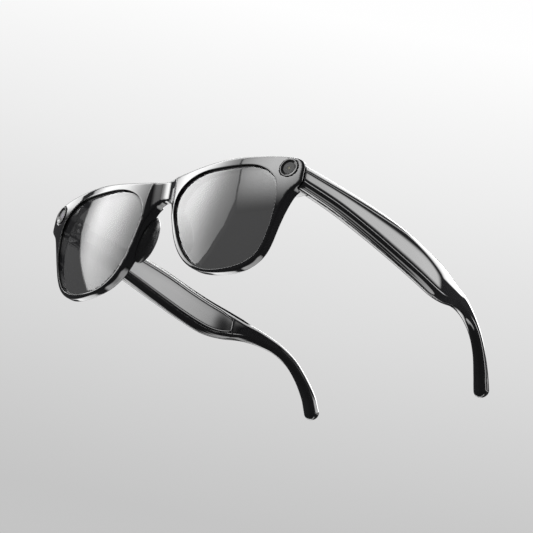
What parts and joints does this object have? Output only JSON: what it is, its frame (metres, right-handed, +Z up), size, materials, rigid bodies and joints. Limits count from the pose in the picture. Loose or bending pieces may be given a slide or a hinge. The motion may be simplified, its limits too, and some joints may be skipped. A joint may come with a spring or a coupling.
{
  "type": "smart glasses",
  "caption": "Sunglass-shaped smart glasses with a front camera, a capture light, speakers and batteries in thick folding temples, a capture button and a power slider.",
  "frame": {"origin": "bottom centre of the open glasses' box: on the surface that the rims stand on, in the middle, half way between the brow and the ear tips", "axes": "+X to the wearer's left, +Y from the lenses back to the ear tips, +Z up"},
  "size_m": [0.1466, 0.1554, 0.047],
  "materials": {
    "frame_gloss_black": "polished",
    "inner_gloss_black": "polished",
    "lens_tint": "polished, grey tint",
    "nose_pad_black": "polished",
    "ring_black": "black anodised, satin",
    "camera_glass": "clear, coated",
    "barrel_black": "matte",
    "rubber_black": "matte",
    "led_frosted": "frosted",
    "circuit_board": "solder resist",
    "flex_amber": "polyimide",
    "hinge_steel": "brushed",
    "screw_steel": "turned",
    "gilt_contact": "gilt, polished",
    "insulator_black": "moulded",
    "battery_wrap": "heat-sealed foil",
    "speaker_black": "moulded",
    "grille_steel": "black etched mesh",
    "shield_tin": "tin plate",
    "button_black": "polished"
  },
  "bodies": {
    "front": {"brow_cover": "inner_gloss_black", "camera_barrel": "barrel_black", "camera_cover_glass": "camera_glass", "camera_gasket": "rubber_black", "camera_lens_element": "camera_glass", "camera_sensor_board": "circuit_board", "camera_trim_ring": "ring_black", "charging_contacts": "gilt_contact", "charging_insulator": "insulator_black", "front_flex": "flex_amber", "front_frame": "frame_gloss_black", "front_leaf_left": "hinge_steel", "front_leaf_right": "hinge_steel", "front_leaf_screws": "screw_steel", "hinge_screw_left": "screw_steel", "hinge_screw_right": "screw_steel", "led_board": "circuit_board", "led_gasket": "rubber_black", "led_light_guide": "led_frosted", "led_trim_ring": "ring_black", "led_window": "led_frosted", "lens_left": "lens_tint", "lens_right": "lens_tint", "nose_microphone": "insulator_black", "nose_pad_left": "nose_pad_black", "nose_pad_right": "nose_pad_black", "status_light_lens": "led_frosted"},
    "temple_left": {"temple_shell_left": "frame_gloss_black", "temple_cover_left": "inner_gloss_black", "temple_leaf_left": "hinge_steel", "temple_leaf_screws_left": "screw_steel", "speaker_left": "speaker_black", "speaker_grille_left": "grille_steel", "temple_microphone_left": "insulator_black", "temple_flex_left": "flex_amber", "battery": "battery_wrap", "battery_board": "circuit_board", "power_switch_base": "insulator_black"},
    "temple_right": {"temple_shell_right": "frame_gloss_black", "temple_cover_right": "inner_gloss_black", "temple_leaf_right": "hinge_steel", "temple_leaf_screws_right": "screw_steel", "speaker_right": "speaker_black", "speaker_grille_right": "grille_steel", "temple_microphone_right": "insulator_black", "temple_flex_right": "flex_amber", "main_board": "circuit_board", "shield_can": "shield_tin", "touch_film": "flex_amber", "antenna": "flex_amber", "dome_switch": "insulator_black"},
    "capture_button": {"capture_button": "button_black"},
    "power_switch": {"power_switch": "button_black"}
  },
  "joints": [
    {"name": "temple_left_fold", "type": "hinge", "parent": "front", "child": "temple_left", "pos_m": [0.0633, -0.05992, 0.03774], "axis": [0, 0, 1], "range_deg": [0, 82]},
    {"name": "temple_right_fold", "type": "hinge", "parent": "front", "child": "temple_right", "pos_m": [-0.0633, -0.05992, 0.03774], "axis": [0, 0, -1], "range_deg": [0, 63]},
    {"name": "capture_button_press", "type": "slide", "parent": "temple_right", "child": "capture_button", "axis": [0, 0, -1], "range_m": [0, 0.00035], "stiffness_N_per_m": 1500},
    {"name": "power_switch_slide", "type": "slide", "parent": "temple_left", "child": "power_switch", "axis": [0, 1, 0], "range_m": [0, 0.002]}
  ]
}
